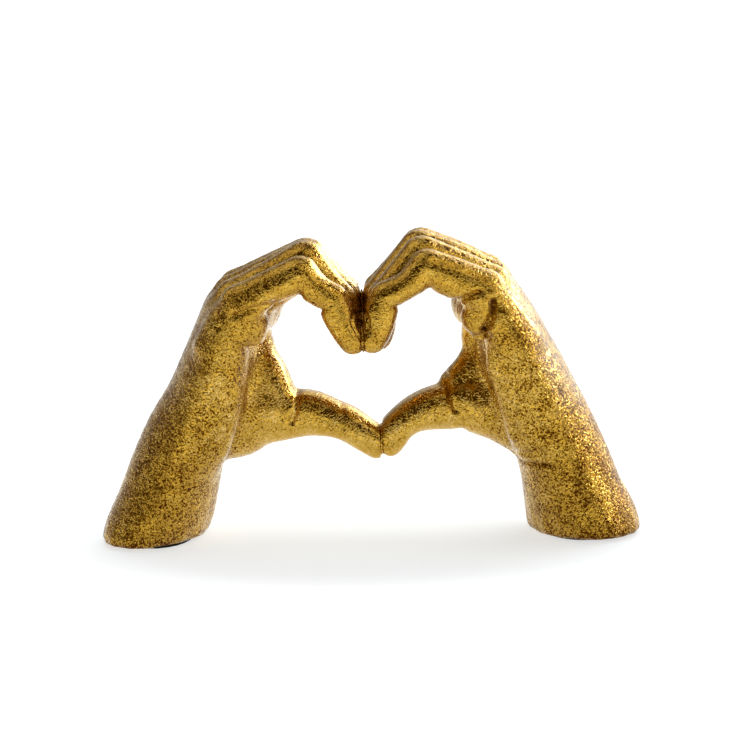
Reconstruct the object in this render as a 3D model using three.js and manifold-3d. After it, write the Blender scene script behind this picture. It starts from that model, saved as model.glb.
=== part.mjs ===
// Heart hands ornament: two cast hands stand on their wrists and lean together, so that curled fingers and
// outstretched thumbs enclose a heart. Each hand is a cored casting, with a plug and a felt pad under its
// wrist. The castings meet only at the fingertips and at the thumb tips, on a glue film and a dowel at each.
// Millimetres, +Z up. The origin is on the table, midway between the wrists. The little fingers face -Y.
import * as THREE from "three";
import { LoftGeometry } from "three/addons/geometries/LoftGeometry.js";
import { mergeVertices } from "three/addons/utils/BufferGeometryUtils.js";
import Module from "manifold-3d";

const wasm = await Module();
wasm.setup();

// Where the castings stand and meet
const wristOut = 100.5; // from the middle plane to the middle of a wrist's foot
const carpusUp = 31; // height of the narrowest part of the wrist
const knuckleUp = 115; // mean height of the knuckles
const fingerMeetX = -2.7; // the plane where the fingertips meet
const thumbMeetX = 5.2; // the plane where the thumb tips meet
const thumbMeetUp = 42.4; // height of the thumb tips
const glueFilm = 0.6; // between the castings

// Wrist and palm: half thicknesses from palm to back, and half breadths across the hand
const wristThick = 25;
const wristBroad = 29.4;
const carpusThick = 21.4;
const carpusBroad = 26.5;
const palmThick = 14.8;
const knuckleThick = 11.8;
const footRound = 4.5; // rounding of the wrist's lower edge

// Fingers and thumb: half breadths, and places across the hand
const fingerPitch = 15; // between neighbouring fingers
const fingerBroad = 8.5; // at the middle joint
const tipFlat = 1.1; // how far each fingertip is pressed flat where it meets the other hand's
const thumbBroad = 9.8;
const thumbRootAcross = 15.5; // how far behind the middle of the hand the thumb grows out
const thumbTipAcross = 8.4; // how far behind it the thumb tips meet

// How the right hand differs from the mean of the pair, and the left hand by as much the other way
const footShift = -1.1; // of the foot, outwards
const footGrowth = 0.9; // of the foot's half thickness
const knuckleRise = 1.8; // of the knuckles' height
const thumbRise = 1.4; // of the thumb's height

// What is inside and underneath
const padThick = 1.5;
const padInset = 1.5; // from the flat of the wrist's foot
const plugWall = 5; // of the casting round the plug's seat, at the flat of the foot
const plugThick = 5;
const plugGap = 0.3; // round the plug, in its seat
const plugLedge = 2.5; // that the plug rests against
const coreTop = 80; // height where the cored hole ends
const coreTopRadius = 7;
const dowelRadius = 2;
const dowelGap = 0.3; // all round each dowel, in its bore
const dowelAboveTip = 1.5; // from a tip's centre to its dowel
const fingerDowelReach = 9; // into each casting
const thumbDowelReach = 8;
const filmMargin = 1.6; // of glue round each dowel, beyond its bore

const hands = [
  { name: "left", side: -1 },
  { name: "right", side: 1 },
];

// Fingers in pitches across the hand, from the little finger. A joint is [out from the meeting plane, above
// the mean knuckle, half thickness]. A tip has no place out, because that follows from where the hands meet.
// The peak is the middle joint, and rise is how much higher it is on the right hand than on the mean of both.
const littleFinger = {
  across: -1.5,
  rise: 1.1,
  knuckle: [56, 1.4, 10],
  peak: [30.2, 14.2, 8.8],
  end: [11.6, 0.4, 6.8],
  tip: [-18, 6.3],
};
const ringFinger = {
  across: -0.5,
  rise: 0.9,
  knuckle: [57.5, 0.2, 11.5],
  peak: [28, 17.2, 9.3],
  end: [9.7, 0.6, 6.9],
  tip: [-20.6, 6.4],
};
const middleFinger = {
  across: 0.5,
  rise: 1.9,
  knuckle: [58, -0.8, 11.8],
  peak: [27, 16.2, 9.4],
  end: [8.9, -0.2, 7],
  tip: [-21.8, 6.5],
};
const firstFinger = {
  across: 1.5,
  rise: 1.9,
  knuckle: [56.5, -0.8, 11.4],
  peak: [28, 14.6, 9.2],
  end: [9.8, -0.6, 6.9],
  tip: [-20.4, 6.4],
};
const fingers = [littleFinger, ringFinger, middleFinger, firstFinger];
const fingerRoot = [72, -28, 9.5]; // a joint in the palm, where every finger starts
const fingerPad = [53.5, -10.5, 10.5]; // the same for the pad of the palm under every finger
const pulp = 1.7; // how much each fingertip's pad stands out

// Facets
const armSides = 24;
const limbSides = 12;
const domeSteps = 3;
const roundSides = 24;

const half = glueFilm / 2;
const fingerDowelUp = knuckleUp + middleFinger.tip[0] + dowelAboveTip;
const fingerDowelAcross = middleFinger.across * fingerPitch;
const thumbDowelUp = thumbMeetUp + dowelAboveTip;
const palmBroad = 1.5 * fingerPitch + fingerBroad - 1;
const heartMiddleUp = (fingerDowelUp + thumbMeetUp) / 2;
const far = 4 * wristOut; // larger than the ornament, for cutting boxes

const resin = new THREE.MeshStandardMaterial({ color: 0xb98a2e, roughness: 0.42, metalness: 0.9 });
const plaster = new THREE.MeshStandardMaterial({ color: 0xcfc6b4, roughness: 0.9, metalness: 0 });
const felt = new THREE.MeshStandardMaterial({ color: 0x2b2a28, roughness: 1, metalness: 0 });
const steel = new THREE.MeshStandardMaterial({ color: 0xa9adb2, roughness: 0.35, metalness: 1 });
const epoxy = new THREE.MeshStandardMaterial({ color: 0x4a3413, roughness: 0.4, metalness: 0 });

// Closed three.js geometry to a solid that can be joined and cut, and back
function solid(geometry) {
  const bare = new THREE.BufferGeometry();
  bare.setAttribute("position", geometry.getAttribute("position"));
  bare.setIndex(geometry.getIndex());
  const merged = mergeVertices(bare);
  const vertProperties = new Float32Array(merged.attributes.position.array);
  const triVerts = new Uint32Array(merged.index.array);
  return new wasm.Manifold(new wasm.Mesh({ numProp: 3, vertProperties, triVerts }));
}

function geometryOf(made) {
  const { vertProperties, triVerts } = made.getMesh();
  const geometry = new THREE.BufferGeometry();
  geometry.setAttribute("position", new THREE.BufferAttribute(vertProperties, 3));
  geometry.setIndex(new THREE.BufferAttribute(triVerts, 1));
  geometry.computeVertexNormals();
  return geometry;
}

function piece(name, geometry, material) {
  const mesh = new THREE.Mesh(geometry, material);
  mesh.name = name;
  return mesh;
}

// A box between two corners, for cutting
function block(low, high) {
  const size = new THREE.Vector3().subVectors(high, low);
  const middle = new THREE.Vector3().addVectors(low, high).multiplyScalar(0.5);
  return solid(new THREE.BoxGeometry(size.x, size.y, size.z).translate(middle.x, middle.y, middle.z));
}

// A cylinder along X between two planes
function rodX(radius, fromX, toX, across, up) {
  const geometry = new THREE.CylinderGeometry(radius, radius, toX - fromX, roundSides);
  return geometry.rotateZ(Math.PI / 2).translate((fromX + toX) / 2, across, up);
}

// Sizes and places that differ between the two hands
const footOut = (hand) => wristOut + hand.side * footShift;
const footThick = (hand) => wristThick + hand.side * footGrowth;
const plugRadius = (hand) => footThick(hand) - footRound - plugWall;
const fingerPlane = (hand) => hand.side * fingerMeetX;
const thumbPlane = (hand) => hand.side * thumbMeetX;

// A height on the palm, as a share of the way from the narrowest part of the wrist to the knuckles
const palmUp = (share) => carpusUp + share * (knuckleUp - carpusUp);

// A point of one hand, from its distance out of the middle plane, its place across the hand and its height
function place(hand, out, across, up) {
  return new THREE.Vector3(hand.side * out, across, up);
}

// A limb's station: the middle of a section, its half thicknesses towards the back and the palm of the hand,
// and its half breadth along Y
function station(out, across, up, back, palm, broad) {
  return { out, across, up, back, palm, broad };
}

// A station's oval section, which lies across the limb's direction
function section(hand, { out, across, up, back, palm, broad }, direction, sides) {
  const lean = Math.atan2(-direction.x, direction.z);
  const points = [];
  for (let i = 0; i < sides; i++) {
    const turn = hand.side * (i / sides) * 2 * Math.PI;
    const thick = Math.cos(turn) * (Math.cos(turn) > 0 ? back : palm);
    const aside = across + broad * Math.sin(turn);
    points.push(place(hand, out + thick * Math.cos(lean), aside, up + thick * Math.sin(lean)));
  }
  return points;
}

function towards(from, to) {
  return new THREE.Vector3(to.out - from.out, to.across - from.across, to.up - from.up).normalize();
}

// The directions of a limb at its stations
function directions(stations) {
  return stations.map((_, i) => {
    const last = stations.length - 1;
    return towards(stations[Math.max(i - 1, 0)], stations[Math.min(i + 1, last)]);
  });
}

// Sections that close a limb's end with a dome, which reaches out along a direction from the end
function domeSections(hand, end, direction, outwards, sides) {
  const reach = Math.min(end.back, end.palm, end.broad);
  const sections = [];
  for (let i = 1; i <= domeSteps; i++) {
    const angle = ((i - 0.4) / domeSteps) * (Math.PI / 2);
    const step = reach * Math.sin(angle);
    const shrink = Math.cos(angle);
    const ring = {
      out: end.out + outwards.x * step,
      across: end.across + outwards.y * step,
      up: end.up + outwards.z * step,
      back: end.back * shrink,
      palm: end.palm * shrink,
      broad: end.broad * shrink,
    };
    sections.push(section(hand, ring, direction, sides));
  }
  return sections;
}

// A limb through stations, with a dome at each end
function limb(hand, stations, sides = limbSides) {
  const along = directions(stations);
  const [first, last] = [stations.at(0), stations.at(-1)];
  const start = domeSections(hand, first, along.at(0), along.at(0).clone().negate(), sides);
  const end = domeSections(hand, last, along.at(-1), along.at(-1), sides);
  const middle = stations.map((each, i) => section(hand, each, along[i], sides));
  return solid(new LoftGeometry([...start.reverse(), ...middle, ...end], { capStart: true, capEnd: true }));
}

// A soft round pad of flesh
function ball(hand, out, across, up, radius) {
  const centre = place(hand, out, across, up);
  const geometry = new THREE.SphereGeometry(radius, limbSides, limbSides / 2);
  return solid(geometry.translate(centre.x, centre.y, centre.z));
}

// Wrist and back of the hand, from the foot's rounded edge to the knuckles
function forearm(hand) {
  const direction = new THREE.Vector3(0, 0, 1);
  const foot = [0, 0.3, 0.65, 1].map((share) => {
    const angle = share * (Math.PI / 2);
    const inset = footRound * (1 - Math.sin(angle));
    const up = padThick + footRound * (1 - Math.cos(angle));
    const thick = footThick(hand) - inset;
    const ring = station(footOut(hand), 0, up, thick, thick, wristBroad - inset);
    return section(hand, ring, direction, armSides);
  });
  const lowThick = (wristThick + carpusThick) / 2;
  const lowBroad = (wristBroad + carpusBroad) / 2;
  const knuckleShift = fingerPlane(hand);
  const stations = [
    station(96, 0, carpusUp / 2, lowThick, lowThick, lowBroad),
    station(91.8, 0, palmUp(0), carpusThick, carpusThick, carpusBroad),
    station(85.6, 0, palmUp(0.2), carpusThick - 1.6, carpusThick - 1.8, carpusBroad),
    station(79, 0, palmUp(0.4), palmThick + 2.6, palmThick + 2.2, palmBroad - 1.5),
    station(73, 0, palmUp(0.6), palmThick, palmThick - 0.8, palmBroad),
    station(68.2 + 0.4 * knuckleShift, 0, palmUp(0.78), knuckleThick + 1, knuckleThick, palmBroad),
    station(64.4 + 0.8 * knuckleShift, 0, palmUp(0.89), knuckleThick, knuckleThick - 0.8, palmBroad - 1),
  ];
  const along = directions(stations);
  const skin = stations.map((each, i) => section(hand, each, along[i], armSides));
  const top = domeSections(hand, stations.at(-1), along.at(-1), along.at(-1), armSides);
  return solid(new LoftGeometry([...foot, ...skin, ...top], { capStart: true, capEnd: true }));
}

// One finger: its root in the palm, its pad there, and three bones between its joints, each with a station
// halfway
function finger(hand, { across, rise, knuckle, peak, end, tip }) {
  const aside = across * fingerPitch;
  const plane = fingerPlane(hand);
  const joint = ([out, above, thick], lift, broad) =>
    station(plane + out, aside, knuckleUp + above + hand.side * lift, thick, thick, broad);
  const halfway = (from, to, back, palm) =>
    station(
      (from.out + to.out) / 2,
      aside,
      (from.up + to.up) / 2,
      (from.back + to.back) / 2 + back,
      (from.palm + to.palm) / 2 + palm,
      (from.broad + to.broad) / 2 - 0.3,
    );
  const [tipAbove, tipThick] = tip;
  const root = { ...joint(fingerRoot, 0, fingerBroad), across: 0.75 * aside };
  const first = joint(knuckle, knuckleRise, fingerBroad + 0.3);
  const second = joint(peak, rise, fingerBroad);
  const third = joint(end, 0, fingerBroad - 0.9);
  const tipCentre = joint([tipThick - tipFlat, tipAbove, tipThick], 0, fingerBroad - 1.7);
  const fourth = { ...tipCentre, back: tipThick - 0.7, palm: tipThick + 0.6 };
  const [padOut, padAbove, padRadius] = fingerPad;
  return [
    limb(hand, [root, first]),
    limb(hand, [first, halfway(first, second, -0.8, -0.3), second]),
    limb(hand, [second, halfway(second, third, -0.2, 0.2), third]),
    limb(hand, [third, halfway(third, tipCentre, -0.2, pulp), fourth]),
    ball(hand, padOut, 0.92 * aside, knuckleUp + padAbove, padRadius),
  ];
}

// The thumb with its ball, from the wrist to its tip, and the web that ties it to the first finger
function thumb(hand) {
  const plane = thumbPlane(hand);
  const lift = hand.side * thumbRise;
  const root = thumbRootAcross;
  const turn = (thumbRootAcross - thumbTipAcross) / 4; // sideways, from each joint of the thumb to the next
  const stations = [
    station(84, root - 2.5, thumbMeetUp - 2.4, 13, 13, 13),
    station(74, root, thumbMeetUp + 3.6, 15, 13, 13.5),
    station(62, root + 1, thumbMeetUp + 9.8, 16, 13.8, 13),
    station(51, root, thumbMeetUp + 13, 13.6, 13.2, thumbBroad + 2),
    station(plane + 42, root - 0.5 * turn, thumbMeetUp + 14.4 + lift, 11, 11.8, thumbBroad + 0.8),
    station(plane + 33, root - turn, thumbMeetUp + 14.7 + lift, 10.8, 11, thumbBroad + 0.2),
    station(plane + 24.5, root - 2 * turn, thumbMeetUp + 13 + lift, 10.2, 10.1, thumbBroad - 0.1),
    station(plane + 16.2, root - 3 * turn, thumbMeetUp + 9.5 + lift, 9, 9.1, thumbBroad),
    station(plane + 9.5, thumbTipAcross + 0.8, thumbMeetUp + 4.7 + 0.8 * lift, 8.3, 8.5, thumbBroad - 0.6),
    station(plane + 4.6, thumbTipAcross, thumbMeetUp + 0.4 * lift, 6.8, 7.6, thumbBroad - 2),
  ];
  const web = [
    station(57, 1.27 * fingerPitch, palmUp(0.79), 10, 10, 9),
    station(52, 1.23 * fingerPitch, palmUp(0.65), 10, 8.8, 8),
    station(48.2, thumbRootAcross + 2, palmUp(0.54), 11, 9.4, 8.5),
    station(44.8, thumbRootAcross + 0.5, thumbMeetUp + 23.6, 9.5, 10.4, 9),
  ];
  return [limb(hand, stations, armSides), limb(hand, web)];
}

// The heel of the hand under the little finger, and the hollow of the palm between it and the web
function palmFlesh(hand) {
  const heel = [
    station(82, -0.67 * fingerPitch, palmUp(0.11), 12, 12, 11),
    station(77.5, -0.87 * fingerPitch, palmUp(0.23), 14, 13.5, 13),
    station(71.5, -fingerPitch, palmUp(0.42), 12.5, 12, 13),
    station(66.5, -1.13 * fingerPitch, palmUp(0.61), 11, 10.5, 12),
    station(62.5, -1.27 * fingerPitch, palmUp(0.77), 10, 8.5, 10.5),
    station(58, -1.33 * fingerPitch, palmUp(0.88), 10, 9, 9.5),
  ];
  const hollow = [
    station(68, 0.7 * fingerPitch, palmUp(0.36), 15, 15, 13),
    station(64, 0.9 * fingerPitch, palmUp(0.52), 14, 14, 14),
    station(63, 0.7 * fingerPitch, palmUp(0.68), 12, 14, 17),
  ];
  return [limb(hand, heel), limb(hand, hollow)];
}

// What the other hand takes away: each hand stops half a glue film short of the two meeting planes
function meetingCuts(hand) {
  const cut = (planeX, lowUp, highUp) => {
    const near = planeX + hand.side * half;
    const other = near - hand.side * far;
    const low = new THREE.Vector3(Math.min(near, other), -far, lowUp);
    const high = new THREE.Vector3(Math.max(near, other), far, highUp);
    return block(low, high);
  };
  return [cut(fingerMeetX, heartMiddleUp, far), cut(thumbMeetX, -far, heartMiddleUp)];
}

// The cored hole, from the plug's seat up into the palm
function core(hand) {
  const radius = plugRadius(hand) - plugLedge;
  const up = new THREE.Vector3(0, 0, 1);
  const foot = station(footOut(hand), 0, padThick, radius, radius, radius);
  const mouth = { ...foot, up: padThick + plugThick };
  const top = station(73.5, 0, coreTop, coreTopRadius, coreTopRadius, coreTopRadius);
  const along = towards(mouth, top);
  const dome = domeSections(hand, top, up, along, roundSides);
  const skin = [foot, mouth, top].map((each) => section(hand, each, up, roundSides));
  return solid(new LoftGeometry([...skin, ...dome], { capStart: true, capEnd: true }));
}

function plugSeat(hand) {
  const depth = plugThick + plugGap;
  const radius = plugRadius(hand) + plugGap;
  const centre = place(hand, footOut(hand), 0, padThick);
  const geometry = new THREE.CylinderGeometry(radius, radius, 2 * depth, roundSides).rotateX(Math.PI / 2);
  return solid(geometry.translate(centre.x, centre.y, centre.z));
}

// A dowel across each meeting plane, or its bore when it is given a gap
function fingerDowel(gap) {
  const reach = half + fingerDowelReach + gap;
  return rodX(dowelRadius + gap, fingerMeetX - reach, fingerMeetX + reach, fingerDowelAcross, fingerDowelUp);
}

function thumbDowel(gap) {
  const reach = half + thumbDowelReach + gap;
  return rodX(dowelRadius + gap, thumbMeetX - reach, thumbMeetX + reach, thumbTipAcross, thumbDowelUp);
}

function casting(hand) {
  const flesh = [
    forearm(hand),
    ...palmFlesh(hand),
    ...fingers.flatMap((shape) => finger(hand, shape)),
    ...thumb(hand),
  ].reduce((whole, part) => whole.add(part));
  const bores = [fingerDowel(dowelGap), thumbDowel(dowelGap)].map(solid);
  const cuts = [...meetingCuts(hand), core(hand), plugSeat(hand), ...bores];
  return cuts.reduce((whole, cut) => whole.subtract(cut), flesh);
}

// A disc with a small bevel at its upper rim, so that it slides into its seat
function plug(hand) {
  const radius = plugRadius(hand);
  const bevel = plugGap * 3;
  const profile = [
    new THREE.Vector2(0, 0),
    new THREE.Vector2(radius, 0),
    new THREE.Vector2(radius, plugThick - bevel),
    new THREE.Vector2(radius - bevel, plugThick),
    new THREE.Vector2(0, plugThick),
  ];
  const centre = place(hand, footOut(hand), 0, padThick);
  const geometry = new THREE.LatheGeometry(profile, roundSides).rotateX(Math.PI / 2);
  return geometry.translate(centre.x, centre.y, centre.z);
}

function pad(hand) {
  const inset = footRound + padInset;
  const outline = new THREE.Shape();
  outline.absellipse(0, 0, footThick(hand) - inset, wristBroad - inset, 0, 2 * Math.PI);
  const centre = place(hand, footOut(hand), 0, 0);
  const geometry = new THREE.ExtrudeGeometry(outline, {
    depth: padThick,
    bevelEnabled: false,
    curveSegments: roundSides,
  });
  return geometry.translate(centre.x, centre.y, 0);
}

// A thin film of glue in a meeting plane, with a hole for the dowel. It is as long as the tips that it joins.
function film(planeX, up, dowelAcross, fromAcross, toAcross) {
  const hole = new THREE.Path();
  hole.absarc(dowelAcross, 0, dowelRadius + dowelGap, 0, 2 * Math.PI);
  const margin = dowelRadius + dowelGap + filmMargin;
  const outline = new THREE.Shape();
  outline.absarc(toAcross, 0, margin, -Math.PI / 2, Math.PI / 2);
  outline.absarc(fromAcross, 0, margin, Math.PI / 2, 1.5 * Math.PI);
  outline.holes.push(hole);
  const geometry = new THREE.ExtrudeGeometry(outline, {
    depth: glueFilm,
    bevelEnabled: false,
    curveSegments: roundSides / 2,
  });
  return geometry
    .rotateX(Math.PI / 2)
    .rotateZ(Math.PI / 2)
    .translate(planeX - half, 0, up);
}

const ornament = new THREE.Group();
for (const hand of hands) {
  ornament.add(piece(`${hand.name}_hand`, geometryOf(casting(hand)), resin));
  ornament.add(piece(`${hand.name}_wrist_plug`, plug(hand), plaster));
  ornament.add(piece(`${hand.name}_felt_pad`, pad(hand), felt));
}
const fingerEnds = [littleFinger, firstFinger].map((shape) => shape.across * fingerPitch);
const fingerGlue = film(fingerMeetX, fingerDowelUp, fingerDowelAcross, ...fingerEnds);
const thumbGlue = film(thumbMeetX, thumbDowelUp, thumbTipAcross, thumbTipAcross, thumbTipAcross);
ornament.add(piece("fingertip_dowel", fingerDowel(0), steel));
ornament.add(piece("thumb_dowel", thumbDowel(0), steel));
ornament.add(piece("fingertip_glue", fingerGlue, epoxy));
ornament.add(piece("thumb_glue", thumbGlue, epoxy));
export default ornament;
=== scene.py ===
# Heart hands ornament: the looks of a pair of cast hands in speckled antique gold.
# Each hand is sculpted as a field of distances to its skin, in millimetres, and then skinned with quads.
import math

import bpy
import numpy as np
from mathutils import Matrix, Vector

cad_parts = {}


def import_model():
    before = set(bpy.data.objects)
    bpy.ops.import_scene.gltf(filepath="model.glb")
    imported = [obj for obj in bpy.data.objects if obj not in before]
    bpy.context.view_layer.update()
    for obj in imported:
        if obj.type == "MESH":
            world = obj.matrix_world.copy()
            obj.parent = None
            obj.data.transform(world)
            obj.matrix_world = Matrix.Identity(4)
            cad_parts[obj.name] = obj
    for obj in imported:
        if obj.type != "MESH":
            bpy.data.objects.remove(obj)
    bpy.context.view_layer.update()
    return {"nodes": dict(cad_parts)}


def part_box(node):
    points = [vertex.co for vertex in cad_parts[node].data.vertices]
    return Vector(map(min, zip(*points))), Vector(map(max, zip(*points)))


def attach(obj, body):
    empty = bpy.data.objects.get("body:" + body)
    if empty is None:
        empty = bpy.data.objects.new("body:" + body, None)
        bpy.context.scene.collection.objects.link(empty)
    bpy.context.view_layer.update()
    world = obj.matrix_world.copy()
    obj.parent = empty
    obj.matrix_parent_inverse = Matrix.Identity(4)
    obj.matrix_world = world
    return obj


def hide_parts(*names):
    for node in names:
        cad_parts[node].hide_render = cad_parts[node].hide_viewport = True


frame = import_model()

# The sculpting grid
MM = 0.001
GRID = 0.8  # millimetres between the grid's points
FAR = 60.0  # distance that stands for empty space
SCULPT_LOW = {"left": (-9, -37, -6), "right": (-4, -37, -6)}  # each hand's corners of the grid
SCULPT_HIGH = (130, 37, 148)

# Where the castings stand and meet, as on the solids
PAD_TOP = 1.5
RIM = 0.7  # the castings' lowest edge, round the felt pads
RECESS_GAP = 1.0  # round each pad
FINGER_PLANE = -2.7
THUMB_PLANE = 5.2
HALF_FILM = 0.3
# Each glue seam's plane, its lowest and highest point, and how far the glue reaches from the castings
SEAMS = {
    "fingertip": (FINGER_PLANE, 86, 128, 1.2),
    "thumb": (THUMB_PLANE, 30, 62, 0.9),
}
SEAM_HOLLOW = 1.2  # how softly the glue's surface is hollowed between the castings
CLEFT = 25.0  # how far out the other hand is near
RELIEF_REACH = 2.4  # round each point of the skin, when hollows are told from ridges
HEART_MIDDLE = 72.0  # height that parts the fingers' meeting plane from the thumbs'
FINGER_PITCH = 15.0

# How each hand departs from the mean of the pair, in millimetres:
# side: -1 on the left of the middle, and 1 on the right
# foot, foot_thick: its foot's place, and half its thickness
# foot_turn: how much further out its foot stands on the little finger's side, per millimetre across
# wrist, heel, palm, back: how far out the arm stands, at four heights from the wrist to under the knuckles
# knuckle_out, knuckle_lift: how far out and how far up its knuckles stand
# bone_lift: how far up the bones past the knuckles stand
# peak_out, end_lift: how far out its middle joints stand, and how far up its end joints
HANDS = {
    "left": {
        "side": -1, "foot": 101.8, "foot_thick": 22.5, "foot_turn": 0.24,
        "wrist": -0.2, "heel": -1.1, "palm": -0.3, "back": -1.3,
        "knuckle_out": -0.4, "knuckle_lift": -2.0, "bone_lift": 0.1, "peak_out": -2.2, "end_lift": -1.2,
    },
    "right": {
        "side": 1, "foot": 98.8, "foot_thick": 25.3, "foot_turn": 0.15,
        "wrist": -1.0, "heel": 0.4, "palm": 0.5, "back": 0.1,
        "knuckle_out": 0.6, "knuckle_lift": 2.4, "bone_lift": 1.0, "peak_out": 0.0, "end_lift": -0.4,
    },
}
TURN_HEIGHT = 60.0  # where the feet's turn has faded out
LEAN_START = 83.0  # where the palms start to lean towards the fingers' meeting plane
LEAN_RISE = 30.0  # how much higher the lean is whole
FINGER_ROOT = (70.5, 93.0)  # out and up, where each finger's bone starts inside the palm

# A finger's stations: out from the meeting plane, height, half thickness at the back and at the palm,
# half breadth. The two little fingers are in plain view, so parts of each have stations of their own.
FINGERS = {
    "little": {
        "across": -1.5, "rise": 1.1,
        "knuckle": (56.0, 116.4, 9.6, 9.4, 8.6), "first": (44.0, 122.9, 8.4, 8.4, 8.0),
        "peak": (30.2, 129.2, 8.7, 8.2, 8.3), "second": (21.2, 122.6, 6.2, 6.9, 7.4),
        "left": {
            "first": (44.0, 123.1, 8.4, 7.7, 8.0), "peak": (30.4, 129.4, 8.6, 8.7, 8.3),
            "second": (22.2, 123.0, 6.8, 7.7, 7.4), "end": (13.6, 117.4, 7.2, 6.8, 7.0),
            "pulp": (10.4, 109.6, 6.8, 8.3, 7.0), "low": (7.8, 101.6, 6.0, 6.7, 6.9),
            "tip": (4.0, 96.9, 5.2, 7.0, 6.4),
        },
        "right": {
            "knuckle": (56.0, 116.4, 9.6, 9.8, 8.6), "first": (44.0, 122.9, 8.4, 10.7, 8.0),
            "peak": (30.2, 129.2, 8.7, 9.0, 8.3), "end": (11.6, 117.6, 7.2, 6.6, 7.0),
            "pulp": (8.4, 110.0, 7.4, 8.0, 7.0), "low": (6.8, 102.0, 6.4, 7.0, 6.9),
            "tip": (3.8, 97.3, 5.4, 7.2, 6.4),
        },
    },
    "ring": {
        "across": -0.5, "rise": 0.9,
        "knuckle": (57.5, 115.2, 11.0, 11.8, 8.8), "first": (44.5, 123.4, 9.2, 11.2, 8.2),
        "peak": (28.0, 132.2, 9.3, 9.0, 8.6), "second": (18.8, 123.8, 7.6, 8.2, 8.0),
        "end": (9.0, 114.8, 6.3, 6.8, 7.6), "pulp": (7.4, 106.4, 6.6, 8.6, 7.6),
        "low": (6.2, 99.8, 6.2, 8.4, 7.4), "tip": (4.3, 94.8, 5.4, 7.2, 6.8),
        "left": {"first": (44.5, 123.4, 9.2, 12.8, 8.2), "peak": (28.0, 132.8, 9.3, 10.4, 8.6)},
        "right": {"low": (7.6, 100.2, 7.0, 7.8, 7.4), "tip": (6.7, 95.6, 6.4, 7.2, 6.8)},
    },
    "middle": {
        "across": 0.5, "rise": 1.9,
        "knuckle": (58.0, 114.2, 11.4, 12.0, 9.0), "first": (44.5, 123.0, 9.4, 12.8, 8.4),
        "peak": (27.0, 131.2, 9.4, 9.2, 8.7), "second": (17.4, 122.6, 7.9, 8.4, 8.2),
        "end": (7.2, 113.4, 6.4, 6.9, 7.8), "pulp": (6.5, 105.4, 6.9, 8.6, 7.7),
        "low": (5.6, 98.8, 6.4, 8.2, 7.5), "tip": (4.3, 93.8, 5.6, 7.2, 6.9),
        "left": {"first": (44.5, 123.0, 9.4, 14.6, 8.4), "peak": (27.0, 131.8, 9.4, 11.4, 8.7)},
    },
    "index": {
        "across": 1.5, "rise": 1.9,
        "knuckle": (56.5, 114.2, 10.8, 11.8, 9.0), "first": (44.0, 122.0, 9.1, 12.6, 8.3),
        "peak": (28.0, 129.6, 9.2, 9.0, 8.6), "second": (18.4, 121.4, 7.8, 8.2, 8.0),
        "end": (7.6, 113.0, 6.3, 6.8, 7.6), "pulp": (6.7, 105.8, 6.7, 8.4, 7.5),
        "low": (5.7, 99.6, 6.2, 8.0, 7.3), "tip": (4.3, 95.0, 5.5, 7.0, 6.7),
        "left": {"first": (44.0, 122.0, 9.1, 14.4, 8.3), "peak": (28.0, 129.6, 9.2, 11.0, 8.6)},
    },
}
JOINTS = ("knuckle", "first", "peak", "second", "end", "pulp", "low", "tip")

# Other limbs' stations: out from the middle, across, height, half thickness at the back and at the palm,
# half breadth
WRIST = [
    (91.8, 0, 31, 21.4, 21.4, 26.5),
    (85.6, 0, 48, 19.8, 19.6, 26.5),
    (79.0, 0, 65, 17.4, 17.0, 28.5),
    (73.0, 0, 82, 14.9, 14.0, 30.0),
    (68.2, 0, 97, 12.8, 12.0, 30.0),
    (64.4, 0, 106, 11.8, 11.0, 29.0),
]
HEEL = [
    (82, -10, 40, 12, 12, 11),
    (77.5, -13, 50, 14, 13.5, 13),
    (71.5, -15, 66, 12.5, 12, 13),
    (66.5, -17, 82, 11, 10.5, 12),
    (62.5, -19, 96, 10, 8.5, 10.5),
    (58, -20, 105, 10, 9, 9.5),
]
HEEL_EDGE = {
    "left": [
        (61, -20, 98, 4.5, 4.5, 4.5),
        (62, -21, 84, 5, 5, 5),
        (65.3, -20.5, 62, 5, 5, 5),
        (71, -17, 46, 5, 5, 5),
    ],
    "right": [
        (58, -21, 93, 4, 4, 4),
        (58.7, -22, 82.5, 4.5, 4.5, 4.5),
        (61, -21.5, 76, 4.5, 4.5, 4.5),
        (64.2, -20.5, 65, 4.5, 4.5, 4.5),
        (68, -18.5, 51, 4.5, 4.5, 4.5),
    ],
}
FINGER_PADS = {
    "left": [
        (57, -17, 107, 9.5, 9.5, 9),
        (53.4, -4, 106.5, 10, 10.5, 10),
        (51, 8, 106.6, 10.5, 11, 11),
        (52.8, 19, 104.5, 10, 10.5, 10),
    ],
    "right": [
        (55, -14, 107, 9.5, 9.5, 9),
        (50.5, -4, 107, 10, 10.5, 10),
        (49.6, 8, 107.6, 10.5, 11, 11),
        (52, 19, 105.5, 10, 10.5, 10),
    ],
}
LITTLE_PAD = {
    "left": [
        (54.6, -18.5, 110, 7, 7, 7),
        (53.2, -19.5, 105, 7.4, 7.4, 7.4),
        (54, -18.5, 100, 6.6, 6.6, 6.6),
    ],
    "right": [
        (51.4, -18.5, 110.5, 7, 7, 7),
        (50, -19.5, 106, 7.4, 7.4, 7.4),
        (50.8, -18, 101.5, 6.6, 6.6, 6.6),
    ],
}
HOLLOW = [
    (69, 10.5, 61, 15, 14.5, 13),
    (65.5, 13.5, 75, 14, 13.5, 14),
    (64.5, 10.5, 88, 12, 13, 17),
]
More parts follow.
